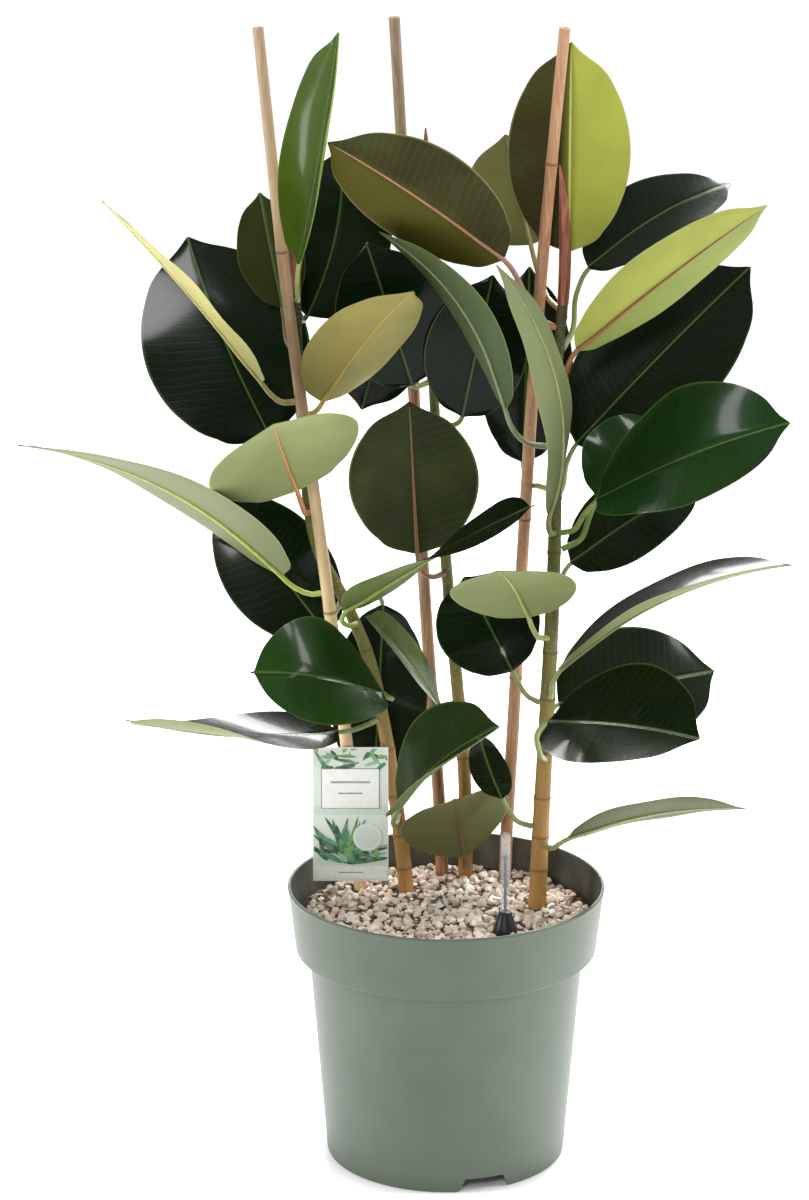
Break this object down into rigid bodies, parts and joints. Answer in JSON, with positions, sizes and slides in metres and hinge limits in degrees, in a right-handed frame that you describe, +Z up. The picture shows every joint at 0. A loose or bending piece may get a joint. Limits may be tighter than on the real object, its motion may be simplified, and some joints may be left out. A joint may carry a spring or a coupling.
{
  "type": "potted rubber plant",
  "caption": "Rubber plant with broad glossy leaves on upright stems, staked with bamboo canes in a round plastic nursery pot topped with pumice.",
  "frame": {"origin": "pot's axis at the surface it stands on", "axes": "+Z up along the pot's axis, -Y towards the front, where the tag faces"},
  "size_m": [0.5595, 0.2436, 0.8625],
  "materials": {
    "sage_plastic": "moulded nursery-pot plastic, sage grey-green, darker inside",
    "bamboo": "thin dry bamboo with nodes",
    "bark": "young green-brown bark with leaf scars",
    "bud_sheath": "smooth reddish-brown sheath",
    "leaf": "glossy dark green above, pale matt green beneath",
    "black_plastic": "black, smooth",
    "clear_plastic": "clear tube",
    "float_plastic": "dark blue-grey rod",
    "potting_mix": "moist potting mix",
    "pumice": "pale pink-beige pumice grit",
    "card": "printed plastic card",
    "wire": "white coated wire"
  },
  "bodies": {
    "root": {"pot": "sage_plastic", "cane_left": "bamboo", "cane_centre": "bamboo", "cane_right": "bamboo", "stem_left": "bark", "bud_left": "bud_sheath", "stem_centre": "bark", "bud_centre": "bud_sheath", "stem_right": "bark", "bud_right": "bud_sheath", "leaf_left_01": "leaf", "leaf_left_02": "leaf", "leaf_left_03": "leaf", "leaf_left_04": "leaf", "leaf_left_05": "leaf", "leaf_left_06": "leaf", "leaf_left_07": "leaf", "leaf_left_08": "leaf", "leaf_left_09": "leaf", "leaf_left_10": "leaf", "leaf_left_11": "leaf", "leaf_left_12": "leaf", "leaf_left_13": "leaf", "leaf_left_14": "leaf", "leaf_centre_01": "leaf", "leaf_centre_02": "leaf", "leaf_centre_03": "leaf", "leaf_centre_04": "leaf", "leaf_centre_05": "leaf", "leaf_centre_06": "leaf", "leaf_right_01": "leaf", "leaf_right_02": "leaf", "leaf_right_03": "leaf", "leaf_right_04": "leaf", "leaf_right_05": "leaf", "leaf_right_06": "leaf", "leaf_right_07": "leaf", "leaf_right_08": "leaf", "leaf_right_09": "leaf", "leaf_right_10": "leaf", "leaf_right_11": "leaf", "leaf_right_12": "leaf", "leaf_right_13": "leaf", "leaf_right_14": "leaf", "leaf_right_15": "leaf", "leaf_right_16": "leaf", "leaf_right_17": "leaf", "leaf_right_18": "leaf", "leaf_right_19": "leaf", "level_base": "black_plastic", "level_tube": "clear_plastic", "level_float": "float_plastic", "growing_medium": "potting_mix", "pumice_layer": "pumice", "tag": "card", "tag_tie": "wire"}
  },
  "joints": []
}
